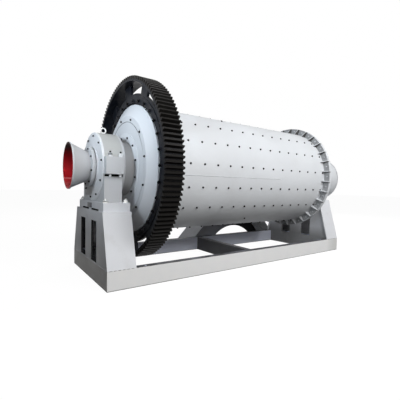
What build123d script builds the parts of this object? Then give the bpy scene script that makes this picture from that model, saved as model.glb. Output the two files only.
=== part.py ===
from build123d import *
import os
from math import cos, pi, radians, sin, sqrt

os.makedirs("parts", exist_ok=True)

# Ball mill: a drum on two trunnion bearings with a girth gear at its feed end, on a welded base frame.
# Millimetres. +X runs along the drum from feed to discharge, -Y is the front, +Z is up, the floor is z = 0.

# Drum
drum_inside_d = 1500
drum_wall = 15
drum_len = 2980
feed_reach = 500                # end of the base to the shell's feed end
discharge_reach = 580           # shell's discharge end to the other end of the base
drum_inside_r = drum_inside_d / 2
drum_r = drum_inside_r + drum_wall
half_len = (feed_reach + drum_len + discharge_reach) / 2
feed_x = feed_reach - half_len
discharge_x = feed_x + drum_len

# Girth gear and the ring on the shell it is bolted to
teeth = 126
hub_ring_w = 97
hub_ring_step = 8               # the hub ring stands this far in front of the web
hub_recess_w = 24               # dark groove between the hub ring and the shell
hub_recess_depth = 20
window_margin = 33
window_h = 120
rim_t = 59
gear_width = 213
gear_face_gap = 91              # the gear's outer face stands this far outside the shell's feed end
web_in = 93                     # the web's outer face lies this far inside the gear's outer face
web_t = 32
gear_fit = 1.0                  # bore of the gear round the shell
window_count = 12
window_phase = 9                # first window's middle, degrees from the top towards the front
window_steps = 6
spoke_angle = 10.5              # degrees between two windows
gear_ring_t = 30
tooth_depth = 2.25              # in modules
tooth_root_half = 0.39          # in tooth pitches
tooth_tip_half = 0.14
gear_floor_gap = 180
hub_ring_r = drum_r + hub_ring_w
hub_recess_r = drum_r + hub_recess_w
window_inner_r = hub_ring_r + window_margin
rim_inner_r = window_inner_r + window_h
gear_tip_r = rim_inner_r + rim_t
gear_module = 2 * gear_tip_r / (teeth + 2)
gear_root_r = gear_tip_r - tooth_depth * gear_module
axis_h = gear_tip_r + gear_floor_gap

# Trunnions
trunnion_bore_r = 150
journal_wall = 50
journal_r = trunnion_bore_r + journal_wall
hub_wall = 117
hub_small_wall = 60
trunnion_flange_w = 108
hub_r = journal_r + hub_wall
hub_small_r = journal_r + hub_small_wall
trunnion_flange_r = hub_r + trunnion_flange_w
trunnion_flange_t = 30
trunnion_fit = 1.0
hub_gap = 17                    # hub end to bearing cover
trunnion_setback = 14           # trunnion end inside the end of the base

# Heads
head_t = 56
head_cone_rise = 78             # the feed head comes forward this far from its rim to its flat
head_cone_w = 141
head_groove_in = 213            # groove of the feed head inside the drum's outer edge
head_flat_r = drum_r - head_cone_w
head_groove_r = drum_r - head_groove_in
head_groove_w = 6
flange_proud = 5                # the trunnion flange stands this far out of the feed head
discharge_head_t = 30
flange_w = 90
flange_r = drum_r + flange_w    # ribbed discharge flange and the head plate bolted to it
flange_t = 25
rib_count = 32
rib_t = 12
rib_len = 72
rib_edge = 14                   # depth of a rib's outer tip
rib_drop = 2                    # rib tip below the flange's edge

# Horns
horn_flange_w = 28
horn_flange_r = journal_r + horn_flange_w
horn_flange_t = 30
horn_wall = 10
horn_neck_wall = 14
horn_lip = 8
feed_horn_len = 205
feed_flare = 107
feed_mouth_r = trunnion_bore_r + feed_flare
discharge_horn_len = 444
discharge_flare = 234
discharge_mouth_r = trunnion_bore_r + discharge_flare

# Bearings, given for the feed end and mirrored
cover_setback = 42              # cover face inside the end of the base
cover_t = 22
barrel_len = 203
bush_wall = 60
barrel_wall = 128
barrel_foot = 4                 # the barrel stands this far above the sole block
bush_r = journal_r + bush_wall
barrel_r = bush_r + barrel_wall
running_gap = 0.3
cover_bore_gap = 8
boss_wall = 28
boss_r = journal_r + boss_wall
boss_t = 14
split_gap = 24
lug_rise = 90                   # lugs reach this far above and below the axis
lug_len = 191
lug_lead = 10                   # lug and column start this far outside the barrel's outer end
column_side = 12
lug_side = 72
column_half = barrel_r + column_side
lug_half = barrel_r + lug_side
edge_round = 6

# Pedestals
pedestal_depth = 305
pedestal_spread = 154           # each side slopes out this far from top to bottom
plate_t = 20
sole_h = 94
sole_inset = 21
sole_lip = 5
slit_in = 53
slit_w = 261
slit_h = 20
slit_depth = 40
top_plate_t = 25
top_plate_lip = 4
slot_in = 121
slot_w = 191
slot_rise = 14                  # slots start this far above the rails
slot_drop = 107                 # and end this far below the pedestal's top
sole_side = 14
pedestal_side = 43
sole_half = lug_half + sole_side
pedestal_top_half = sole_half + pedestal_side
sole_top_z = axis_h - barrel_r - barrel_foot
pedestal_top_z = sole_top_z - sole_h

# Base
half_wid = pedestal_top_half + pedestal_spread
base_len = 2 * half_len
base_wid = 2 * half_wid
rail_h = 202
rail_w = 88
rail_wall = 10
inner_set = 20                  # inner plate and the beam under it lie this far inside the pedestal's edge
cross_shift = -85               # cross beam's feed side from the middle of the base
anchor_r = 14
anchor_in = 430                 # anchor holes in from the base's ends
anchor_x = half_len - anchor_in
anchor_y = half_wid - rail_w / 2

# Stand behind the rear rail
seat_depth = 420
seat_h = 600
seat_plate = 14
seat_len = 2285
seat_setback = 20               # discharge foot inside the end of the base
seat_lean = 572                 # each leg's top stands this far in from its foot
arch_shift = 86                 # arch centre from the middle of the stand
seat_shoulders = 989            # what the arch's diameter leaves of the stand's length
seat_bridge = 286               # web left above the arch
arch_r = (seat_len - seat_shoulders) / 2
arch_centre_z = seat_h - seat_bridge - arch_r
seat_top_t = 16
seat_leg_box = 225              # the discharge leg is a box section this wide


def save(name, solid):
    export_step(solid, f"parts/{name}.step")


def box(x0, x1, y0, y1, z0, z1):
    return Pos((x0 + x1) / 2, (y0 + y1) / 2, (z0 + z1) / 2) * Box(x1 - x0, y1 - y0, z1 - z0)


# Prism with its outline in XZ, running from y0 to y1
def side_plate(points, y0, y1):
    face = make_face(Polyline(*[(x, y0, z) for x, z in points], close=True))
    return extrude(face, y1 - y0, dir=(0, 1, 0))


# Prism with its outline in YZ, running from x0 to x1
def end_plate(points, x0, x1):
    face = make_face(Polyline(*[(x0, y, z) for y, z in points], close=True))
    return extrude(face, x1 - x0, dir=(1, 0, 0))


# Body turned about the drum axis from (x, radius) points
def turned(points):
    face = make_face(Polyline(*[(x, 0, r) for x, r in points], close=True))
    return Pos(0, 0, axis_h) * revolve(face, Axis.X)


def rod(r, x0, x1):
    return Pos((x0 + x1) / 2, 0, axis_h) * Rot(0, 90, 0) * Cylinder(r, x1 - x0)


def tube(outer_r, inner_r, x0, x1):
    return rod(outer_r, x0, x1) - rod(inner_r, x0, x1)


# The same piece at the other end of the machine
def flip(solid):
    return mirror(solid, Plane.YZ)


# Box section along X on the -Y side of a rectangle, both ends mitred
def mitred_beam(length, wid):
    outer_y = -wid / 2
    inner_y = outer_y + rail_w
    body = box(-length / 2, length / 2, outer_y, inner_y, 0, rail_h)
    body -= box(-length / 2, length / 2, outer_y + rail_wall, inner_y - rail_wall,
                rail_wall, rail_h - rail_wall)
    plan = make_face(Polyline((-length / 2, outer_y), (length / 2, outer_y), (length / 2 - rail_w, inner_y),
                              (rail_w - length / 2, inner_y), close=True))
    return body & extrude(plan, rail_h)


# Box section along Y between the two rails
def tie_beam(x0):
    y = half_wid - rail_w
    return box(x0, x0 + rail_w, -y, y, 0, rail_h) - box(
        x0 + rail_wall, x0 + rail_w - rail_wall, -y, y, rail_wall, rail_h - rail_wall)


# Base frame
front_rail = mitred_beam(base_len, base_wid)
for sign in (-1, 1):
    front_rail -= Pos(sign * anchor_x, -anchor_y, rail_h / 2) * Cylinder(anchor_r, rail_h)
save("front_rail", front_rail)
save("rear_rail", Rot(0, 0, 180) * front_rail)
end_beam = mitred_beam(base_wid, base_len)
save("feed_end_beam", Rot(0, 0, -90) * end_beam)
save("discharge_end_beam", Rot(0, 0, 90) * end_beam)
save("cross_beam", tie_beam(cross_shift))

# Pedestals: sloped side plates, a slotted plate at each end, a top plate and the bearing's sole block
top_plate_z = pedestal_top_z - top_plate_t
ped_out_x = -half_len
ped_in_x = ped_out_x + pedestal_depth
inner_x = ped_in_x - inner_set
slope = pedestal_spread / (pedestal_top_z - rail_h)
plate_y = plate_t * sqrt(1 + slope * slope)
low_half = half_wid
high_half = half_wid - slope * (top_plate_z - rail_h)
sole_low_half = pedestal_top_half
sole_high_half = pedestal_top_half - slope * sole_h


def sloped_plate(sign):
    return end_plate([(sign * low_half, rail_h), (sign * high_half, top_plate_z),
                      (sign * (high_half - plate_y), top_plate_z), (sign * (low_half - plate_y), rail_h)],
                     ped_out_x, ped_in_x)


def slotted_plate(x0):
    low_y = low_half - plate_y
    high_y = high_half - plate_y
    plate = end_plate([(-low_y, rail_h), (low_y, rail_h), (high_y, top_plate_z), (-high_y, top_plate_z)],
                      x0, x0 + plate_t)
    slot = box(x0, x0 + plate_t, slot_in, slot_in + slot_w, rail_h + slot_rise, pedestal_top_z - slot_drop)
    return plate - slot - mirror(slot, Plane.XZ)


sole_x0 = ped_out_x + sole_inset
sole_x1 = ped_in_x + sole_lip
sole = box(sole_x0, sole_x1, -sole_half, sole_half, pedestal_top_z, sole_top_z)
slit = box(sole_x0, sole_x0 + slit_depth, slit_in, slit_in + slit_w, pedestal_top_z, pedestal_top_z + slit_h)
sole = sole - slit - mirror(slit, Plane.XZ)

# Bearings
cover_x = cover_setback - half_len
barrel_x0 = cover_x + cover_t
barrel_x1 = barrel_x0 + barrel_len
inner_face_x = barrel_x1 + cover_t
lug_x0 = barrel_x0 - lug_lead
lug_x1 = lug_x0 + lug_len
cap_z = axis_h - lug_rise
split_z = cap_z - split_gap
bore = rod(bush_r, barrel_x0, barrel_x1)
barrel = rod(barrel_r, barrel_x0, barrel_x1)
cover_space = rod(barrel_r, lug_x0, barrel_x0)
bearing_base = barrel & box(barrel_x0, barrel_x1, -barrel_r, barrel_r, sole_top_z, split_z)
bearing_base += box(lug_x0, lug_x1, -column_half, column_half, sole_top_z, split_z) - cover_space
bearing_base -= bore
bearing_cap = barrel & box(barrel_x0, barrel_x1, -barrel_r, barrel_r, cap_z, axis_h + barrel_r)
lugs = box(lug_x0, lug_x1, -lug_half, lug_half, cap_z, axis_h + lug_rise)
bearing_cap += fillet(lugs.edges().filter_by(Axis.Z), edge_round) - cover_space
bearing_cap -= bore
cover_bore = journal_r + cover_bore_gap
outer_cover = turned([(cover_x, cover_bore), (cover_x - boss_t, cover_bore), (cover_x - boss_t, boss_r),
                      (cover_x, boss_r), (cover_x, barrel_r - edge_round), (cover_x + edge_round, barrel_r),
                      (barrel_x0, barrel_r), (barrel_x0, cover_bore)])

bearing_end = {
    "inner_beam": tie_beam(inner_x - rail_w),
    "slotted_plate": slotted_plate(ped_out_x),
    "inner_plate": slotted_plate(inner_x - plate_t),
    "front_plate": sloped_plate(-1),
    "rear_plate": sloped_plate(1),
    "top_plate": end_plate([(-high_half, top_plate_z), (high_half, top_plate_z),
                            (pedestal_top_half, pedestal_top_z), (-pedestal_top_half, pedestal_top_z)],
                           ped_out_x, ped_in_x + top_plate_lip),
    "bearing_base": bearing_base,
    "bearing_cap": bearing_cap,
    "bearing_bush": tube(bush_r, journal_r + running_gap, barrel_x0, barrel_x1),
    "outer_cover": outer_cover,
    "inner_cover": tube(barrel_r, cover_bore, barrel_x1, inner_face_x),
}
for name, piece in bearing_end.items():
    save("feed_" + name, piece)
    save("discharge_" + name, flip(piece))

save("feed_sole_block", sole)
flush_sole = end_plate([(-sole_low_half, pedestal_top_z), (sole_low_half, pedestal_top_z),
                        (sole_high_half, sole_top_z), (-sole_high_half, sole_top_z)], ped_out_x, ped_in_x)
save("discharge_sole_block", flip(flush_sole))

# Drum shell and heads
save("drum_shell", tube(drum_r, drum_inside_r, feed_x, discharge_x))
flat_x = feed_x - head_cone_rise
head_back_x = flat_x + head_t
flange_face_x = flat_x - flange_proud
pocket_x = flange_face_x + trunnion_flange_t
pocket_r = trunnion_flange_r + trunnion_fit
groove_x = flat_x + head_groove_w
groove_r = head_groove_r + head_groove_w
save("feed_head", turned([(head_back_x, trunnion_bore_r), (pocket_x, trunnion_bore_r), (pocket_x, pocket_r),
                          (flat_x, pocket_r), (flat_x, head_groove_r), (groove_x, head_groove_r),
                          (groove_x, groove_r), (flat_x, groove_r), (flat_x, head_flat_r),
                          (feed_x - edge_round, drum_r), (feed_x, drum_r), (feed_x, drum_inside_r),
                          (head_back_x, head_flat_r)]))
head_out_x = discharge_x + discharge_head_t
save("discharge_head", tube(flange_r, trunnion_bore_r, discharge_x, head_out_x))
flange_x = discharge_x - flange_t
rib_x = flange_x - rib_len
rib_low_z = axis_h + drum_r - rib_t
rib_high_z = axis_h + flange_r - rib_drop
ring = tube(flange_r, drum_r, flange_x, discharge_x)
rib = side_plate([(flange_x, rib_low_z), (flange_x, rib_high_z), (flange_x - rib_edge, rib_high_z),
                  (rib_x, axis_h + drum_r + rib_edge), (rib_x, rib_low_z)], -rib_t / 2, rib_t / 2)
rib -= rod(drum_r, rib_x, flange_x)
axle = Axis((0, 0, axis_h), (1, 0, 0))
for k in range(rib_count):
    ring += rib.rotate(axle, (k + 0.5) * 360 / rib_count)
save("discharge_flange", ring)

# Girth gear
gear_x0 = feed_x - gear_face_gap
gear_x1 = gear_x0 + gear_width
web_x0 = gear_x0 + web_in
web_x1 = web_x0 + web_t
hub_x0 = web_x0 - hub_ring_step
gear_bore_r = drum_r + gear_fit


def around(x, r, angle):
    return (x, -r * sin(angle), axis_h + r * cos(angle))


tooth = ((-tooth_root_half, gear_root_r), (-tooth_tip_half, gear_tip_r),
         (tooth_tip_half, gear_tip_r), (tooth_root_half, gear_root_r))
outline = [around(gear_x0, r, 2 * pi * (k + part) / teeth) for k in range(teeth) for part, r in tooth]
gear = extrude(make_face(Polyline(*outline, close=True)), gear_width, dir=(1, 0, 0))
gear -= rod(rim_inner_r, gear_x0, gear_x1)
web = tube((rim_inner_r + gear_root_r) / 2, gear_bore_r, web_x0, web_x1)
window_span = radians(360 / window_count - spoke_angle)
arc = [window_span * (i / window_steps - 0.5) for i in range(window_steps + 1)]
window_edge = [around(web_x0, rim_inner_r, a) for a in arc]
window_edge += [around(web_x0, window_inner_r, a) for a in arc[::-1]]
window = extrude(make_face(Polyline(*window_edge, close=True)), web_t, dir=(1, 0, 0))
for k in range(window_count):
    web -= window.rotate(axle, window_phase + k * 360 / window_count)
hub = tube(hub_ring_r, gear_bore_r, hub_x0, web_x1)
hub_recess = rod(hub_recess_r, hub_x0, hub_x0 + hub_recess_depth)
save("girth_gear", gear + web + hub - hub_recess)
save("gear_flange", tube(hub_ring_r, drum_r, web_x1, web_x1 + gear_ring_t))

# Trunnions and horns
trunnion_end = half_len - trunnion_setback
hub_end = -inner_face_x - hub_gap


# Hollow trunnion at one end, from the back of its flange at distance root to the end of its journal
def trunnion(sign, root):
    face = root + trunnion_flange_t
    return turned([(sign * x, r) for x, r in (
        (root, trunnion_bore_r), (trunnion_end, trunnion_bore_r), (trunnion_end, journal_r),
        (hub_end, journal_r), (hub_end, hub_small_r), (face, hub_r), (face, trunnion_flange_r),
        (root, trunnion_flange_r))])


# Flared horn with a bolting flange at its small end and a thick lip at its mouth
def horn(sign, length, mouth_r):
    neck = trunnion_end + horn_flange_t
    mouth = neck + length
    lip = mouth - 2 * horn_lip
    return turned([(sign * x, r) for x, r in (
        (trunnion_end, trunnion_bore_r), (trunnion_end, horn_flange_r), (neck, horn_flange_r),
        (neck, trunnion_bore_r + horn_neck_wall), (lip, mouth_r - horn_lip), (lip, mouth_r), (mouth, mouth_r),
        (mouth, mouth_r - horn_lip - horn_wall), (neck, trunnion_bore_r))])


save("feed_trunnion", trunnion(-1, -pocket_x))
save("discharge_trunnion", trunnion(1, head_out_x))
save("feed_horn", horn(-1, feed_horn_len, feed_mouth_r))
save("discharge_horn", horn(1, discharge_horn_len, discharge_mouth_r))

# Stand behind the rear rail: two leaning legs, an arched web between them at mid depth and a top plate
seat_y0 = half_wid
seat_y1 = half_wid + seat_depth
right_foot = half_len - seat_setback
left_foot = right_foot - seat_len
left_top = left_foot + seat_lean
right_top = right_foot - seat_lean
leg_w = seat_plate * sqrt(1 + (seat_lean / seat_h) ** 2)
arch_x = (left_foot + right_foot) / 2 + arch_shift
arch = Pos(arch_x, (seat_y0 + seat_y1) / 2, arch_centre_z) * Rot(90, 0, 0) * Cylinder(arch_r, seat_depth)


# Leaning plate between two lines that run from foot to top
def leaning(foot0, foot1, top0, top1, y0, y1):
    return side_plate([(foot0, 0), (foot1, 0), (top1, seat_h), (top0, seat_h)], y0, y1)


front_y = seat_y0 + seat_plate
rear_y = seat_y1 - seat_plate
web_y0 = (seat_y0 + seat_y1 - seat_plate) / 2
box_foot = right_foot - seat_leg_box
box_top = right_top - seat_leg_box
save("seat_feed_leg", leaning(left_foot, left_foot + leg_w, left_top, left_top + leg_w, seat_y0, seat_y1))
box_leg = leaning(box_foot, right_foot, box_top, right_top, seat_y0, seat_y1)
box_leg -= leaning(box_foot + leg_w, right_foot - leg_w, box_top + leg_w, right_top - leg_w, front_y, rear_y)
save("seat_discharge_leg", box_leg)
web = leaning(left_foot + leg_w, box_foot, left_top + leg_w, box_top, web_y0, web_y0 + seat_plate)
save("seat_web", web - arch)
save("seat_top", box(left_top, right_top, seat_y0, seat_y1, seat_h, seat_h + seat_top_t))
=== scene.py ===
import math
import bmesh
import bpy
from mathutils import Matrix, Vector


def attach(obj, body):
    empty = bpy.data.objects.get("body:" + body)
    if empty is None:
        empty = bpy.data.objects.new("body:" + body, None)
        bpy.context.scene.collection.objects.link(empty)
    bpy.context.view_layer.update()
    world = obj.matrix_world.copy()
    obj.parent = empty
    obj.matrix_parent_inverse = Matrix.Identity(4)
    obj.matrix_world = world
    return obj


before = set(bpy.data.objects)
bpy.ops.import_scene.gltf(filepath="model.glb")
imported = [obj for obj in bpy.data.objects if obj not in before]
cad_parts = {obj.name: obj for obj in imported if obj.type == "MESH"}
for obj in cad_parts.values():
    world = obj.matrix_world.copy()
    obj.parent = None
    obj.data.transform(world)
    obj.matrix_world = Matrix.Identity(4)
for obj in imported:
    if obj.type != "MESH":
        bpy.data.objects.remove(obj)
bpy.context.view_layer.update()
print("frame loaded:", len(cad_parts), "nodes")

axisHeight = 1.254  # drum axis above the floor
drumAxis = Vector((0.0, 0.0, axisHeight))
quarterTurn = math.radians(90.0)
plainWhite = (1.0, 1.0, 1.0)
ends = ((-1.0, "feed"), (1.0, "discharge"))  # sign along X and the first word of the pieces' names


# shader nodes

mixSockets = {"first": 6, "second": 7, "result": 2}  # where a Mix node keeps its colours


def plug(tree, value, socket):
    # an output is linked, and a number, a place or a colour goes on the socket itself
    if isinstance(value, bpy.types.NodeSocket):
        tree.links.new(value, socket)
    elif isinstance(value, tuple):
        socket.default_value = value + (1.0,)
    else:
        socket.default_value = value


def mathNode(tree, operation, *values):
    node = tree.nodes.new("ShaderNodeMath")
    node.operation = operation
    for value, socket in zip(values, node.inputs):
        plug(tree, value, socket)
    return node.outputs["Value"]


def vectorNode(tree, operation, *values):
    node = tree.nodes.new("ShaderNodeVectorMath")
    node.operation = operation
    for value, socket in zip(values, node.inputs):
        plug(tree, value, socket)
    return node.outputs


def times(tree, first, second):
    return mathNode(tree, "MULTIPLY", first, second)


def between(tree, value, low, high):
    # 1 where the value lies between the two limits, 0 elsewhere
    return times(tree, mathNode(tree, "GREATER_THAN", value, low), mathNode(tree, "LESS_THAN", value, high))


def remap(tree, value, fromSpan, toSpan=(0.0, 1.0)):
    node = tree.nodes.new("ShaderNodeMapRange")
    for name, limit in zip(("From Min", "From Max", "To Min", "To Max"), fromSpan + toSpan):
        node.inputs[name].default_value = limit
    plug(tree, value, node.inputs["Value"])
    return node.outputs["Result"]


def mixColour(tree, share, first, second):
    node = tree.nodes.new("ShaderNodeMix")
    node.data_type = "RGBA"
    plug(tree, share, node.inputs["Factor"])
    plug(tree, first, node.inputs[mixSockets["first"]])
    plug(tree, second, node.inputs[mixSockets["second"]])
    return node.outputs[mixSockets["result"]]


def noiseNode(tree, coord, scale, detail):
    node = tree.nodes.new("ShaderNodeTexNoise")
    node.inputs["Scale"].default_value = scale
    node.inputs["Detail"].default_value = detail
    plug(tree, coord, node.inputs["Vector"])
    return node.outputs["Fac"]


def grain(tree, coord, scale, look, amount=(0.0, 1.0)):
    # noise, with the used part of its range stretched over the amount
    return remap(tree, noiseNode(tree, coord, scale, look["detail"]), look["span"], amount)


def partPlace(tree):
    return tree.nodes.new("ShaderNodeTexCoord").outputs["Object"]


def partAxes(tree, coord):
    apart = tree.nodes.new("ShaderNodeSeparateXYZ")
    plug(tree, coord, apart.inputs["Vector"])
    return apart.outputs


def axisDistance(tree, coord):
    # distance from the drum's axis
    centred = vectorNode(tree, "SUBTRACT", coord, drumAxis)["Vector"]
    across = vectorNode(tree, "MULTIPLY", centred, Vector((0.0, 1.0, 1.0)))["Vector"]
    return vectorNode(tree, "LENGTH", across)["Value"]


# camera, at the photograph's view

cameraSetup = {
    "place": (-2.9707, -3.5195, 1.0409),
    "yaw": 0.6191,  # turned from +Y towards +X
    "tilt": -0.0418,  # a little downward
    "roll": 0.0196,
    "lens": 26.904,
    "sensor": 36.0,
    "farthest": 200.0,
}


def makeCamera(setup):
    data = bpy.data.cameras.new("photoCamera")
    data.lens = setup["lens"]
    data.sensor_width = setup["sensor"]
    data.clip_end = setup["farthest"]
    yaw, tilt, roll = setup["yaw"], setup["tilt"], setup["roll"]
    ahead = Vector((math.sin(yaw) * math.cos(tilt), math.cos(yaw) * math.cos(tilt), math.sin(tilt)))
    right = Vector((math.cos(yaw), -math.sin(yaw), 0.0))
    up = right.cross(ahead)
    camX = right * math.cos(roll) + up * math.sin(roll)
    camY = up * math.cos(roll) - right * math.sin(roll)
    cam = bpy.data.objects.new("photoCamera", data)
    cam.location = setup["place"]
    cam.rotation_euler = Matrix((camX, camY, -ahead)).transposed().to_euler()
    bpy.context.collection.objects.link(cam)
    bpy.context.scene.camera = cam


makeCamera(cameraSetup)


# studio: a floor that looks white, a white surround and soft lamps

studioFloor = {
    "size": 120.0,
    "colour": (0.06, 0.06, 0.06),
    "glow": 0.97,  # plain white that the camera sees under the floor's own light and shadow
}
studioWorld = {"light": 0.022, "seen": 1.0}  # strength as a light, and where it is looked at
softLamp = {"spread": 180.0, "colour": plainWhite, "glare": True}
studioLamps = {
    "keyLamp": dict(softLamp, place=(0.8, -7.6, 5.95), aim=(0.8, 0.0, 1.2), size=(10.0, 4.0), power=880.0),
    "fillLamp": dict(softLamp, place=(-3.2, -8.4, 1.0), aim=(0.0, 0.0, 0.8), size=(3.0, 3.0), power=81.0,
                     colour=(1.0, 0.965, 0.91)),
    "topLamp": dict(softLamp, place=(0.0, 3.2, 9.0), aim=(0.0, 0.0, 1.2), size=(4.0, 4.0), power=53.0),
    "leftLamp": dict(softLamp, place=(-4.7, -1.7, 2.2), aim=(-1.6, -0.3, 2.0), size=(1.0, 1.0), power=11.3,
                     spread=48.0, colour=(0.82, 0.91, 1.0)),
    "backLamp": dict(softLamp, place=(6.2, 7.0, 2.3), aim=(0.2, 0.0, 1.2), size=(5.0, 3.0), power=704.0,
                     glare=False),
}


def whiteRays(tree):
    # camera, mirror and see-through rays meet plain white
    path = tree.nodes.new("ShaderNodeLightPath").outputs
    either = mathNode(tree, "MAXIMUM", path["Is Camera Ray"], path["Is Glossy Ray"])
    return mathNode(tree, "MAXIMUM", either, path["Is Transmission Ray"])


def makeFloor(look):
    bm = bmesh.new()
    bmesh.ops.create_grid(bm, x_segments=1, y_segments=1, size=look["size"] / 2)
    mesh = bpy.data.meshes.new("studioFloor")
    bm.to_mesh(mesh)
    bm.free()
    floor = bpy.data.objects.new("studioFloor", mesh)
    bpy.context.collection.objects.link(floor)
    mat = bpy.data.materials.new("studioFloor")
    mat.use_nodes = True
    tree = mat.node_tree
    tree.nodes.clear()
    matte = tree.nodes.new("ShaderNodeBsdfDiffuse")
    plug(tree, look["colour"], matte.inputs["Color"])
    white = tree.nodes.new("ShaderNodeEmission")
    plug(tree, times(tree, whiteRays(tree), look["glow"]), white.inputs["Strength"])
    both = tree.nodes.new("ShaderNodeAddShader")
    tree.links.new(matte.outputs[0], both.inputs[0])
    tree.links.new(white.outputs[0], both.inputs[1])
    out = tree.nodes.new("ShaderNodeOutputMaterial")
    tree.links.new(both.outputs[0], out.inputs["Surface"])
    mesh.materials.append(mat)


def makeWorld(look):
    world = bpy.data.worlds.new("studioWorld")
    bpy.context.scene.world = world
    world.use_nodes = True
    tree = world.node_tree
    tree.nodes.clear()
    mix = tree.nodes.new("ShaderNodeMixShader")
    plug(tree, whiteRays(tree), mix.inputs["Fac"])
    for strength, socket in ((look["light"], mix.inputs[1]), (look["seen"], mix.inputs[2])):
        white = tree.nodes.new("ShaderNodeBackground")
        plug(tree, plainWhite, white.inputs["Color"])
        plug(tree, strength, white.inputs["Strength"])
        tree.links.new(white.outputs[0], socket)
    out = tree.nodes.new("ShaderNodeOutputWorld")
    tree.links.new(mix.outputs[0], out.inputs["Surface"])


def makeLamp(name, look):
    data = bpy.data.lights.new(name, "AREA")
    data.energy = look["power"]
    data.color = look["colour"]
    data.shape = "RECTANGLE"
    data.size, data.size_y = look["size"]
    data.spread = math.radians(look["spread"])
    lamp = bpy.data.objects.new(name, data)
    lamp.location = look["place"]
    ahead = Vector(look["aim"]) - Vector(look["place"])
    lamp.rotation_euler = ahead.to_track_quat("-Z", "Y").to_euler()
    lamp.visible_camera = False
    lamp.visible_glossy = look["glare"]
    bpy.context.collection.objects.link(lamp)


makeFloor(studioFloor)
makeWorld(studioWorld)
for lampName, lampLook in studioLamps.items():
    makeLamp(lampName, lampLook)
bpy.context.scene.view_settings.view_transform = "Standard"
print("camera and studio ready")


# paints

paintGrain = {  # noise that all paints share: its detail, and the part of its range that is used
    "mottle": {"detail": 5.0, "span": (0.35, 0.68)},
    "grimeAndShade": {"detail": 8.0, "span": (0.56, 0.80)},
    "chips": {"detail": 6.0, "span": (0.42, 0.62), "scale": 38.0},
    "rough": {"detail": 6.0, "span": (0.3, 0.7), "scale": 9.0},
    "bump": {"detail": 3.0, "height": 0.002},
}
edgeWearAndHighlight = {"samples": 4, "span": (0.985, 0.80)}  # how far the rounded normal agrees with the true one


def edgeMask(tree, radius):
    soft = tree.nodes.new("ShaderNodeBevel")
    soft.samples = edgeWearAndHighlight["samples"]
    soft.inputs["Radius"].default_value = radius
    shape = tree.nodes.new("ShaderNodeNewGeometry")
    agree = vectorNode(tree, "DOT_PRODUCT", soft.outputs["Normal"], shape.outputs["Normal"])["Value"]
    return remap(tree, agree, edgeWearAndHighlight["span"])


def paintFinish(name, look):
    mat = bpy.data.materials.new(name)
    mat.use_nodes = True
    tree = mat.node_tree
    shader = tree.nodes["Principled BSDF"]
    coord = partPlace(tree)
    mottle = grain(tree, coord, look["mottleScale"], paintGrain["mottle"])
    colour = mixColour(tree, mottle, look["colour"], look["mottleColour"])
    grimeAndShade = grain(tree, coord, look["grimeScale"], paintGrain["grimeAndShade"], (0.0, look["grimeAmount"]))
    colour = mixColour(tree, grimeAndShade, colour, look["grimeColour"])
    # lighter edges: chipped wear, and a painted highlight along the edges
    if look["edgeAmount"] > 0.0:
        flakes = paintGrain["chips"]
        chips = grain(tree, coord, flakes["scale"], flakes, (0.0, look["edgeAmount"]))
        wearAndLight = times(tree, edgeMask(tree, look["edgeRadius"]), chips)
        colour = mixColour(tree, wearAndLight, colour, look["edgeColour"])
    plug(tree, colour, shader.inputs["Base Color"])
    rough = grain(tree, coord, paintGrain["rough"]["scale"], paintGrain["rough"], look["rough"])
    plug(tree, rough, shader.inputs["Roughness"])
    shader.inputs["Metallic"].default_value = look["metal"]
    shader.inputs["Specular IOR Level"].default_value = look["gloss"]
    bump = tree.nodes.new("ShaderNodeBump")
    bump.inputs["Strength"].default_value = look["bump"]
    bump.inputs["Distance"].default_value = paintGrain["bump"]["height"]
    relief = noiseNode(tree, coord, look["bumpScale"], paintGrain["bump"]["detail"])
    plug(tree, relief, bump.inputs["Height"])
    plug(tree, bump.outputs["Normal"], shader.inputs["Normal"])
    return mat


drumPaintLook = {
    "colour": (0.695, 0.716, 0.742), "mottleColour": (0.653, 0.673, 0.698), "mottleScale": 1.4,
    "grimeColour": (0.477, 0.466, 0.443), "grimeScale": 3.0, "grimeAmount": 0.16,
    "edgeColour": (0.900, 0.900, 0.900), "edgeAmount": 0.5, "edgeRadius": 0.006,
    "rough": (0.40, 0.56), "metal": 0.0, "gloss": 0.12, "bump": 0.12, "bumpScale": 160.0,
}
headPaintLook = dict(drumPaintLook, colour=(0.635, 0.655, 0.680), mottleColour=(0.600, 0.618, 0.642))
framePaintLook = dict(drumPaintLook, colour=(0.727, 0.744, 0.778), mottleColour=(0.682, 0.693, 0.722),
                      grimeColour=(0.375, 0.364, 0.341), grimeAmount=0.25, grimeScale=5.0,
                      edgeColour=(0.864, 0.875, 0.886))
crossPaintLook = dict(framePaintLook, colour=(0.148, 0.150, 0.159), mottleColour=(0.125, 0.125, 0.131),
                      grimeColour=(0.136, 0.125, 0.114), edgeColour=(0.477, 0.477, 0.489))
bearingPaintLook = dict(drumPaintLook, colour=(0.528, 0.540, 0.562), mottleColour=(0.500, 0.506, 0.517),
                        grimeScale=7.0, grimeAmount=0.22, bump=0.22, bumpScale=90.0)
coverPaintLook = dict(bearingPaintLook, colour=(0.682, 0.693, 0.716), mottleColour=(0.636, 0.648, 0.665),
                      edgeColour=(0.740, 0.750, 0.770), edgeAmount=0.4)
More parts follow.
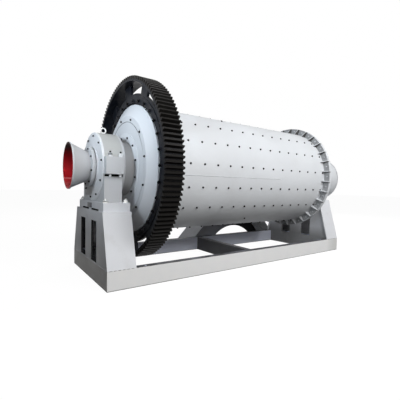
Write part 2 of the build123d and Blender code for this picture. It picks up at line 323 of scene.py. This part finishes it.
# black gear paint with a bluish tint, the tint a painted sheen
gearPaintLook = dict(drumPaintLook, colour=(0.0082, 0.0098, 0.0143), mottleColour=(0.0124, 0.0140, 0.0182),
                     grimeColour=(0.085, 0.080, 0.070), grimeScale=8.0, grimeAmount=0.4,
                     edgeColour=(0.190, 0.166, 0.136), edgeAmount=0.7, edgeRadius=0.004,
                     rough=(0.30, 0.46), gloss=0.065, bump=0.2, bumpScale=60.0)
boltSteelLook = dict(drumPaintLook, colour=(0.0085, 0.0085, 0.0096), mottleColour=(0.0138, 0.0132, 0.0126),
                     grimeColour=(0.036, 0.0245, 0.0165), grimeScale=20.0, grimeAmount=0.35, edgeAmount=0.0,
                     rough=(0.35, 0.55), metal=0.1, gloss=0.05, bumpScale=240.0)
zincSteelLook = dict(boltSteelLook, colour=(0.886, 0.886, 0.869), mottleColour=(0.773, 0.773, 0.761),
                     grimeColour=(0.386, 0.364, 0.330), metal=0.25, gloss=0.12)
nutSteelLook = dict(zincSteelLook, colour=(0.740, 0.750, 0.765), mottleColour=(0.660, 0.670, 0.682),
                    metal=0.1)
weldSteelShadeLook = dict(boltSteelLook, colour=(0.182, 0.182, 0.188), mottleColour=(0.295, 0.295, 0.295),
                     metal=0.2, gloss=0.12)

drumPaint = paintFinish("drumPaint", drumPaintLook)
framePaint = paintFinish("framePaint", framePaintLook)
bearingPaint = paintFinish("bearingPaint", bearingPaintLook)
coverPaint = paintFinish("coverPaint", coverPaintLook)
gearPaint = paintFinish("gearPaint", gearPaintLook)
boltSteel = paintFinish("boltSteel", boltSteelLook)
zincSteel = paintFinish("zincSteel", zincSteelLook)
nutSteel = paintFinish("nutSteel", nutSteelLook)
weldSteelShade = paintFinish("weldSteelShade", weldSteelShadeLook)
feedHeadPaint = paintFinish("feedHeadPaint", headPaintLook)
crossPaint = paintFinish("crossPaint", crossPaintLook)


# tones, grease, wear, painted light and painted shade by place, over the paints

def copyPaint(name, paint):
    mat = paint.copy()
    mat.name = name
    return mat


def coatOver(mat, share, colour):
    # another colour over the paint, as far as the share says
    tree = mat.node_tree
    socket = tree.nodes["Principled BSDF"].inputs["Base Color"]
    plug(tree, mixColour(tree, share, socket.links[0].from_socket, colour), socket)


def toneOver(mat, look):
    # another tone past a place along one axis of the part, or past a distance from the drum's axis
    tree = mat.node_tree
    coord = partPlace(tree)
    if look["along"] == "radius":
        measure = axisDistance(tree, coord)
    else:
        measure = partAxes(tree, coord)[look["along"]]
    coatOver(mat, remap(tree, measure, look["span"], look["amount"]), look["colour"])


# painted light and shade on the rails: bluish light inside, shade towards the far end, on the tops and along
# the floor
railTone = {"outside": (0.795, 0.795, 0.790), "inside": (0.739, 0.773, 0.900), "y": (-0.655, -0.66)}
railFarShade = {"tone": (0.640, 0.642, 0.628), "x": (1.72, 1.90)}
railEnds = {"tone": (0.590, 0.582, 0.565), "x": 2.0295}
railTopShade = {"grimeAndShade": (0.0250, 0.0239, 0.0227), "z": (0.2005, 0.2015)}
railFootShadow = {"grimeAndShade": (0.102, 0.100, 0.097), "z": (0.010, 0.004)}
railUneven = {"scale": 6.0, "detail": 6.0, "span": (0.3, 0.7), "amount": (0.75, 1.0)}


def railOver(mat):
    # warmer front, painted shade towards its far end, painted bluish light inside, darker ends, painted
    # shade on the tops and a painted contact shadow along the floor
    tree = mat.node_tree
    coord = partPlace(tree)
    axes = partAxes(tree, coord)
    uneven = grain(tree, coord, railUneven["scale"], railUneven, railUneven["amount"])
    outside = mixColour(tree, remap(tree, axes["X"], railFarShade["x"]), railTone["outside"], railFarShade["tone"])
    tone = mixColour(tree, remap(tree, axes["Y"], railTone["y"]), railTone["inside"], outside)
    atEnds = mathNode(tree, "GREATER_THAN", mathNode(tree, "ABSOLUTE", axes["X"]), railEnds["x"])
    coatOver(mat, uneven, mixColour(tree, atEnds, tone, railEnds["tone"]))
    for look in (railTopShade, railFootShadow):
        coatOver(mat, times(tree, remap(tree, axes["Z"], look["z"]), uneven), look["grimeAndShade"])


darkSpaces = [  # the same at both ends and on both sides, with yTo given at the low and at the high z
    # painted shade inside the pedestals between their sloped plates, with painted light towards the inner
    # plates
    {"paintedShade": (0.045, 0.045, 0.050), "lit": (0.920, 0.920, 0.940), "litX": (1.88, 1.835),
     "x": (1.764, 2.011), "z": (0.204, 0.744), "yFrom": -1.0, "yTo": (0.6525, 0.505)},
    # painted shade on the inner faces of the end plates
    {"paintedShade": (0.330, 0.330, 0.340),
     "x": (2.0095, 2.0105), "z": (0.204, 0.744), "yFrom": -1.0, "yTo": (0.6525, 0.505)},
    # painted shade on the edges of the slots, in the end plates and in the inner plates
    {"paintedShade": (0.030, 0.030, 0.034),
     "x": (2.0105, 2.0299), "z": (0.2155, 0.6615), "yFrom": 0.1205, "yTo": (0.3125, 0.3125)},
    {"paintedShade": (0.240, 0.240, 0.250),
     "x": (1.7451, 1.7645), "z": (0.2155, 0.6615), "yFrom": 0.1205, "yTo": (0.3125, 0.3125)},
    # painted shade in the slits in the underside of the feed sole block
    {"paintedShade": (0.0114, 0.0114, 0.0114),
     "x": (1.968, 2.0085), "z": (0.7675, 0.7885), "yFrom": 0.0525, "yTo": (0.3145, 0.3145)},
]


def darkOver(mat, look):
    # painted shade within the given distances from the middle planes of the part
    tree = mat.node_tree
    axes = partAxes(tree, vectorNode(tree, "ABSOLUTE", partPlace(tree))["Vector"])
    inside = between(tree, axes["Y"], look["yFrom"], remap(tree, axes["Z"], look["z"], look["yTo"]))
    for axis in ("X", "Z"):
        inside = times(tree, inside, between(tree, axes[axis], *look[axis.lower()]))
    paintedShade = look["paintedShade"]
    if "lit" in look:
        paintedShade = mixColour(tree, remap(tree, axes["X"], look["litX"]), paintedShade, look["lit"])
    coatOver(mat, inside, paintedShade)


hornLook = {
    "wallX": (-2.046, -2.251), "wallR": (0.157, 0.2565),  # from neck to mouth; inside this line it is red
    "red": (0.640, 0.0160, 0.0240), "redWorn": (0.500, 0.0100, 0.0160), "redShade": (0.0120, 0.0003, 0.0003),
    "redPaintedLight": (0.850, 0.200, 0.200), "gloss": 0.06,
    "wearAndLight": {"detail": 7.0, "span": (0.35, 0.7)}, "wornScale": 7.0,
    # heights from the drum's axis: painted shade above, painted light below and along a band
    "shade": (-0.06, 0.21), "pale": (-0.12, -0.19), "band": -0.135, "bandHalf": 0.014,
    "paleAmount": 0.5, "bandAmount": 0.8,
}


def hornOver(mat, look):
    # a red inside, with painted shade in its upper part and patchy painted light in its lower part and along
    # a band
    tree = mat.node_tree
    coord = partPlace(tree)
    axes = partAxes(tree, coord)
    inside = mathNode(tree, "LESS_THAN", axisDistance(tree, coord),
                      remap(tree, axes["X"], look["wallX"], look["wallR"]))
    height = mathNode(tree, "SUBTRACT", axes["Z"], axisHeight)
    wearAndLight = grain(tree, coord, look["wornScale"], look["wearAndLight"])
    red = mixColour(tree, wearAndLight, look["red"], look["redWorn"])
    red = mixColour(tree, remap(tree, height, look["shade"]), red, look["redShade"])
    pale = remap(tree, height, look["pale"], (0.0, look["paleAmount"]))
    red = mixColour(tree, times(tree, pale, wearAndLight), red, look["redPaintedLight"])
    offBand = mathNode(tree, "SUBTRACT", height, look["band"])
    offSquare = times(tree, offBand, offBand)
    band = remap(tree, offSquare, (look["bandHalf"] ** 2, 0.0), (0.0, look["bandAmount"]))
    coatOver(mat, inside, mixColour(tree, band, red, look["redPaintedLight"]))
    tree.nodes["Principled BSDF"].inputs["Specular IOR Level"].default_value = look["gloss"]


grooveShade = {"colour": (0.080, 0.085, 0.097), "radii": (0.5505, 0.5595), "amount": 0.75,
              "z": (axisHeight + 0.10, axisHeight + 0.42)}


def grooveOver(mat, look):
    # painted shade in the upper part of the head's groove
    tree = mat.node_tree
    coord = partPlace(tree)
    inside = between(tree, axisDistance(tree, coord), *look["radii"])
    upper = remap(tree, partAxes(tree, coord)["Z"], look["z"], (0.0, look["amount"]))
    coatOver(mat, times(tree, inside, upper), look["colour"])


ribShade = {
    "ribs": 32, "colour": (0.045, 0.043, 0.041),
    "beside": (-0.190, -0.030),  # in rib pitches, from a rib's middle
    "face": (0.425, 0.430, 0.440), "faceX": 1.4245, "faceR": 0.851,
}


def flangeOver(mat, look):
    # a darker ring face as painted shade, with a painted shadow on one side of each rib and beside it
    tree = mat.node_tree
    coord = partPlace(tree)
    axes = partAxes(tree, coord)
    face = times(tree, mathNode(tree, "GREATER_THAN", axes["X"], look["faceX"]),
                 mathNode(tree, "LESS_THAN", axisDistance(tree, coord), look["faceR"]))
    coatOver(mat, face, look["face"])
    height = mathNode(tree, "SUBTRACT", axes["Z"], axisHeight)
    forward = mathNode(tree, "SUBTRACT", 0.0, axes["Y"])
    angle = mathNode(tree, "ARCTAN2", height, forward)
    pitches = times(tree, angle, look["ribs"] / (2 * math.pi))
    fromRib = mathNode(tree, "SUBTRACT", mathNode(tree, "FLOORED_MODULO", pitches, 1.0), 0.5)
    below = mathNode(tree, "LESS_THAN", fromRib, look["beside"][1])
    coatOver(mat, times(tree, below, remap(tree, fromRib, look["beside"])), look["colour"])


webShade = {"colour": (0.0136, 0.0136, 0.0148), "along": "X", "span": (0.0, 1.15), "amount": (0.6, 1.0)}
capTone = {"colour": (0.440, 0.446, 0.434), "along": "Z", "span": (1.346, 1.356), "amount": (0.0, 0.9)}
# painted shade on the lower part of the inner plates
footShade = {"colour": (0.260, 0.260, 0.260), "along": "Z", "span": (0.400, 0.230), "amount": (0.0, 0.75)}
# painted shade on the front face of the discharge leg
legFrontShade = {"colour": (0.110, 0.112, 0.110), "along": "Y", "span": (0.676, 0.672), "amount": (0.0, 0.9)}
headCone = {"colour": (0.690, 0.710, 0.738), "along": "radius", "span": (0.620, 0.628),
            "amount": (0.0, 0.9)}
# painted shade on the trunnion hub, inside the given radius
hubShade = {"colour": (0.440, 0.446, 0.456), "along": "radius", "span": (0.335, 0.325),
             "amount": (0.0, 0.9)}
toothGrease = {"colour": (0.0112, 0.0100, 0.0084), "along": "radius", "span": (1.034, 1.040),
               "amount": (0.0, 0.85)}

railPaint = copyPaint("railPaint", framePaint)
railOver(railPaint)
webPaint = copyPaint("webPaint", framePaint)
toneOver(webPaint, webShade)
for darkSpace in darkSpaces:
    darkOver(framePaint, darkSpace)
innerPlatePaint = copyPaint("innerPlatePaint", framePaint)
toneOver(innerPlatePaint, footShade)
legPaint = copyPaint("legPaint", framePaint)
toneOver(legPaint, legFrontShade)
capPaint = copyPaint("capPaint", bearingPaint)
toneOver(capPaint, capTone)
feedHornPaint = copyPaint("feedHornPaint", bearingPaint)
hornOver(feedHornPaint, hornLook)
hubPaint = copyPaint("hubPaint", drumPaint)
toneOver(hubPaint, hubShade)
flangePaint = copyPaint("flangePaint", drumPaint)
flangeOver(flangePaint, ribShade)
toneOver(gearPaint, toothGrease)
toneOver(feedHeadPaint, headCone)
grooveOver(feedHeadPaint, grooveShade)

nodePaints = [  # the first of these words in a node's name gives its paint, and other nodes have framePaint
    ("girth_gear", gearPaint), ("gear_flange", gearPaint), ("bush", boltSteel), ("feed_horn", feedHornPaint),
    ("discharge_flange", flangePaint), ("cross_beam", crossPaint), ("inner_plate", innerPlatePaint),
    ("inner_beam", innerPlatePaint), ("rail", railPaint), ("beam", railPaint), ("seat_web", webPaint),
    ("seat_discharge_leg", legPaint), ("bearing_cap", capPaint), ("outer_cover", coverPaint),
    ("bearing", bearingPaint), ("cover", bearingPaint), ("feed_head", feedHeadPaint), ("trunnion", hubPaint),
    ("drum", drumPaint), ("head", drumPaint), ("horn", drumPaint),
]


def dressNodes():
    for name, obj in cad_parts.items():
        paints = [paint for word, paint in nodePaints if word in name]
        obj.data.materials.clear()
        obj.data.materials.append(paints[0] if paints else framePaint)


dressNodes()
print("materials on", len(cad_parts), "nodes")


# bolts

boltShape = {"washerTaper": 0.94, "headSides": 6, "bodyShare": 0.78, "crownTaper": 0.84, "studSides": 8,
             "studTaper": 0.9}
pieceShape = {"merge": 0.00002, "sharpAngle": math.radians(35.0)}


def facing(place, outward):
    turn = Vector(outward).to_track_quat("Z", "Y").to_matrix().to_4x4()
    return Matrix.Translation(place) @ turn


def aroundDrum(x, radius, angle):
    # angle from the front side upward
    return Vector((x, -radius * math.cos(angle), axisHeight + radius * math.sin(angle)))


def addRod(bm, place, low, height, sides, radius, taper=1.0, closed=True):
    # a rod along the place's own Z from low upward, narrowed at its far end by the taper
    bmesh.ops.create_cone(bm, cap_ends=closed, segments=sides, radius1=radius, radius2=radius * taper,
                          depth=height, matrix=place @ Matrix.Translation((0.0, 0.0, low + height / 2)))


def addBolt(bm, place, look):
    shape = boltShape
    lift = look["washerT"]
    addRod(bm, place, 0.0, lift, look["washerSides"], look["washerR"], shape["washerTaper"])
    body = look["headH"] * shape["bodyShare"]
    addRod(bm, place, lift, body, shape["headSides"], look["headR"], closed=False)
    crown = look["headH"] - body
    addRod(bm, place, lift + body, crown, shape["headSides"], look["headR"], shape["crownTaper"])
    if look["studH"] > 0.0:
        addRod(bm, place, lift + look["headH"], look["studH"], shape["studSides"], look["studR"],
               shape["studTaper"])


def finishPiece(name, bm, body, mat):
    bmesh.ops.remove_doubles(bm, verts=bm.verts[:], dist=pieceShape["merge"])
    for face in bm.faces:
        face.smooth = True
    for edge in bm.edges:
        if len(edge.link_faces) == 2 and edge.calc_face_angle(0.0) > pieceShape["sharpAngle"]:
            edge.smooth = False
    mesh = bpy.data.meshes.new(name)
    bm.to_mesh(mesh)
    bm.free()
    mesh.materials.append(mat)
    obj = bpy.data.objects.new(name, mesh)
    bpy.context.collection.objects.link(obj)
    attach(obj, body)


linerBolts = {
    "rows": 18, "firstRow": 3.9, "perRow": 15, "firstX": -1.333, "pitch": 0.1928, "radius": 0.765,
    "lone": {3: 5, 9: 7, 15: 7},  # every sixth row has one bolt only, at this place along it
    "washerR": 0.0130, "washerT": 0.003, "washerSides": 10, "headR": 0.0110, "headH": 0.008,
    "studR": 0.0065, "studH": 0.003,
}


def makeLinerBolts(look):
    bm = bmesh.new()
    for row in range(look["rows"]):
        angle = math.radians(look["firstRow"] + 360.0 * row / look["rows"])
        outward = aroundDrum(0.0, 1.0, angle) - drumAxis
        lone = look["lone"].get(row)
        for k in range(look["perRow"]) if lone is None else [lone]:
            x = look["firstX"] + look["pitch"] * k
            addBolt(bm, facing(aroundDrum(x, look["radius"], angle), outward), look)
    finishPiece("linerBolts", bm, "rotor", boltSteel)


makeLinerBolts(linerBolts)

gearBolt = {"washerR": 0.021, "washerT": 0.004, "washerSides": 12, "headR": 0.019, "headH": 0.016,
            "studR": 0.011, "studH": 0.006}
headBolt = {"washerR": 0.0135, "washerT": 0.003, "washerSides": 10, "headR": 0.0115, "headH": 0.009,
            "studR": 0.0065, "studH": 0.003}
smallBolt = {"washerR": 0.011, "washerT": 0.003, "washerSides": 10, "headR": 0.0095, "headH": 0.008,
             "studR": 0.0055, "studH": 0.003}
coverBolt = dict(smallBolt, washerR=0.012, headR=0.0105, headH=0.009, studH=0.0)
flangeNut = dict(headBolt, washerR=0.0125, washerT=0.002, headR=0.011, headH=0.008, studH=0.0)

boltRings = [
    {"name": "gearRingBolts", "x": -1.536, "radius": 0.811, "count": 30, "first": 0.0, "out": -1.0,
     "body": "rotor", "slot": "gear_black", "mat": gearPaint, "bolt": gearBolt},
    {"name": "feedHeadBolts", "x": -1.608, "radius": 0.587, "count": 12, "first": 10.4, "out": -1.0,
     "body": "rotor", "slot": "dark_steel", "mat": boltSteel, "bolt": headBolt},
    {"name": "feedTrunnionBolts", "x": -1.613, "radius": 0.369, "count": 12, "first": 12.4, "out": -1.0,
     "body": "rotor", "slot": "dark_steel", "mat": boltSteel, "bolt": headBolt},
    {"name": "dischargeTrunnionBolts", "x": 1.510, "radius": 0.369, "count": 12, "first": 12.4, "out": 1.0,
     "body": "rotor", "slot": "dark_steel", "mat": boltSteel, "bolt": headBolt},
    {"name": "feedHornBolts", "x": -2.046, "radius": 0.200, "count": 8, "first": 31.0, "out": -1.0,
     "body": "rotor", "slot": "dark_steel", "mat": boltSteel, "bolt": smallBolt},
    {"name": "dischargeHornBolts", "x": 2.046, "radius": 0.200, "count": 8, "first": 31.0, "out": 1.0,
     "body": "rotor", "slot": "dark_steel", "mat": boltSteel, "bolt": smallBolt},
    {"name": "feedCoverBolts", "x": -1.988, "radius": 0.348, "count": 10, "first": 9.4, "out": -1.0,
     "body": "frame", "slot": "dark_steel", "mat": boltSteel, "bolt": coverBolt},
    {"name": "dischargeCoverBolts", "x": 1.988, "radius": 0.348, "count": 10, "first": 9.4, "out": 1.0,
     "body": "frame", "slot": "dark_steel", "mat": boltSteel, "bolt": coverBolt},
    {"name": "flangeNuts", "x": 1.425, "radius": 0.812, "count": 32, "first": 0.0, "out": -1.0,
     "body": "rotor", "slot": "drum_grey", "mat": drumPaint, "bolt": flangeNut},
    {"name": "flangeHeads", "x": 1.480, "radius": 0.812, "count": 32, "first": 0.0, "out": 1.0,
     "body": "rotor", "slot": "drum_grey", "mat": drumPaint, "bolt": flangeNut},
]


def makeBoltRing(look):
    bm = bmesh.new()
    outward = (look["out"], 0.0, 0.0)
    for k in range(look["count"]):
        angle = math.radians(look["first"] + 360.0 * k / look["count"])
        addBolt(bm, facing(aroundDrum(look["x"], look["radius"], angle), outward), look["bolt"])
    finishPiece(look["name"], bm, look["body"], look["mat"])


for ringLook in boltRings:
    makeBoltRing(ringLook)
print("bolts made")


# studs and nuts on the bearing caps, nuts on the sole blocks, lifting eyes

capStuds = {
    "x": (1.925, 1.814), "y": 0.430, "z": 1.344,
    "nut": {"washerR": 0.023, "washerT": 0.004, "washerSides": 14, "headR": 0.0205, "headH": 0.036,
            "studH": 0.0},
    "sides": 12, "gapR": 0.012, "gapZ": (1.138, 1.166), "tipR": 0.0105, "tipZ": 1.383, "tipH": 0.020,
    "tipTaper": 0.85,
}
soleNuts = {
    "x": (1.979, 1.757), "y": 0.438, "z": 0.862,
    "nut": {"washerR": 0.029, "washerT": 0.005, "washerSides": 14, "headR": 0.025, "headH": 0.021,
            "studR": 0.009, "studH": 0.017},
}


def fourPlaces(end, look, z):
    return [Matrix.Translation((end * x, side * look["y"], z)) for x in look["x"] for side in (-1.0, 1.0)]


def makeCapNuts(end, word, look):
    # the nuts, and the studs where they cross the gap under the cap
    bm = bmesh.new()
    for place in fourPlaces(end, look, look["z"]):
        addBolt(bm, place, look["nut"])
    low, high = look["gapZ"]
    for place in fourPlaces(end, look, low):
        addRod(bm, place, 0.0, high - low, look["sides"], look["gapR"])
    finishPiece(word + "CapNuts", bm, "frame", nutSteel)


def makeCapStuds(end, word, look):
    bm = bmesh.new()
    for place in fourPlaces(end, look, look["tipZ"]):
        addRod(bm, place, 0.0, look["tipH"], look["sides"], look["tipR"], look["tipTaper"])
    finishPiece(word + "CapStuds", bm, "frame", boltSteel)


def makeSoleNuts(end, word, look):
    bm = bmesh.new()
    for place in fourPlaces(end, look, look["z"]):
        addBolt(bm, place, look["nut"])
    finishPiece(word + "SoleNuts", bm, "frame", zincSteel)


liftingEye = {"x": 1.8645, "z": 1.642, "ringR": 0.0285, "wireR": 0.0078, "ringSides": 32, "wireSides": 14,
              "stemR": 0.013, "stemH": 0.008, "stemSides": 20, "stemTaper": 0.9, "sunk": 0.003}


def makeLiftingEye(end, word, look):
    bm = bmesh.new()
    centre = Vector((end * look["x"], 0.0, look["z"] + look["stemH"] + look["ringR"]))
    bmesh.ops.create_circle(bm, cap_ends=False, radius=look["wireR"], segments=look["wireSides"],
                            matrix=Matrix.Translation(centre + Vector((look["ringR"], 0.0, 0.0))))
    bmesh.ops.spin(bm, geom=bm.verts[:] + bm.edges[:], cent=centre, axis=(0.0, 1.0, 0.0),
                   dvec=(0.0, 0.0, 0.0), angle=2 * math.pi, steps=look["ringSides"], use_merge=True,
                   use_duplicate=False)
    bmesh.ops.remove_doubles(bm, verts=bm.verts[:], dist=pieceShape["merge"])
    bmesh.ops.recalc_face_normals(bm, faces=bm.faces[:])
    foot = Matrix.Translation((end * look["x"], 0.0, look["z"]))
    addRod(bm, foot, -look["sunk"], look["stemH"] + look["sunk"], look["stemSides"], look["stemR"],
           look["stemTaper"])
    finishPiece(word + "LiftingEye", bm, "frame", zincSteel)


for end, word in ends:
    makeCapNuts(end, word, capStuds)
    makeCapStuds(end, word, capStuds)
    makeSoleNuts(end, word, soleNuts)
    makeLiftingEye(end, word, liftingEye)
print("bearing fixings made")


# stop plate and weld beads

stopPlate = {"x": -2.016, "z": 0.820, "size": (0.016, 0.130, 0.056), "soft": 0.004, "softSteps": 2}


def makeStopPlate(look):
    bm = bmesh.new()
    bmesh.ops.create_cube(bm, size=1.0)
    bmesh.ops.scale(bm, verts=bm.verts[:], vec=look["size"])
    bmesh.ops.bevel(bm, geom=bm.edges[:], offset=look["soft"], offset_type="OFFSET",
                    segments=look["softSteps"], profile=0.5, affect="EDGES", material=-1)
    bmesh.ops.translate(bm, verts=bm.verts[:], vec=(look["x"], 0.0, look["z"]))
    finishPiece("feedStopPlate", bm, "frame", crossPaint)


beadShape = {"sides": 10, "endTaper": 0.5}


def addBead(bm, look, length, turn, place):
    # a weld bead: a rod along its own Z with narrowed ends, flattened across its own X
    sides, taper = beadShape["sides"], beadShape["endTaper"]
    made = bmesh.ops.create_cone(bm, cap_ends=True, segments=sides, radius1=look["radius"],
                                 radius2=look["radius"], depth=length - look["radius"])["verts"]
    caps = [face for face in bm.faces if len(face.verts) == sides and all(v in made for v in face.verts)]
    for face in caps:
        out = bmesh.ops.extrude_discrete_faces(bm, faces=[face])["faces"][0]
        made += out.verts[:]
        bmesh.ops.scale(bm, verts=out.verts[:], vec=(taper, taper, 1.0))
        bmesh.ops.translate(bm, verts=out.verts[:], vec=out.normal * look["radius"] / 2)
    bmesh.ops.scale(bm, verts=made, vec=(look["flat"], 1.0, 1.0))
    bmesh.ops.transform(bm, matrix=Matrix.Translation(place) @ turn, verts=made)


# stitch weld beads along the foot joints, dark as a painted shadow along the joint
footWelds = {"x": 1.995, "y": 0.669, "z": 0.202, "count": 6, "pitch": 0.046, "length": 0.030,
             "radius": 0.006, "flat": 0.45}


def makeFootWelds(end, word, look):
    bm = bmesh.new()
    alongX = Matrix.Rotation(quarterTurn, 4, "Y")
    for side in (-1.0, 1.0):
        for k in range(look["count"]):
            x = end * (look["x"] - look["pitch"] * k)
            addBead(bm, look, look["length"], alongX, (x, side * look["y"], look["z"]))
    finishPiece(word + "FootWelds", bm, "frame", weldSteelShade)


endWeld = {"x": 2.030, "z": 0.202, "length": 1.28, "radius": 0.006, "flat": 0.5}


def makeEndWeld(end, word, look):
    bm = bmesh.new()
    alongY = Matrix.Rotation(quarterTurn, 4, "X")
    addBead(bm, look, look["length"], alongY, (end * look["x"], 0.0, look["z"]))
    finishPiece(word + "EndWeld", bm, "frame", framePaint)


shellSeam = {"angle": -6.0, "x": (-1.40, 0.40), "drumR": 0.765, "radius": 0.005, "flat": 0.22}


def makeShellSeam(look):
    bm = bmesh.new()
    angle = math.radians(look["angle"])
    turn = Matrix.Rotation(angle, 4, "X") @ Matrix.Rotation(quarterTurn, 4, "Y")
    low, high = look["x"]
    addBead(bm, look, high - low, turn, aroundDrum((low + high) / 2, look["drumR"], angle))
    finishPiece("shellSeam", bm, "rotor", drumPaint)


makeStopPlate(stopPlate)
for end, word in ends:
    makeFootWelds(end, word, footWelds)
    makeEndWeld(end, word, endWeld)
makeShellSeam(shellSeam)
print("stop plate and welds made")
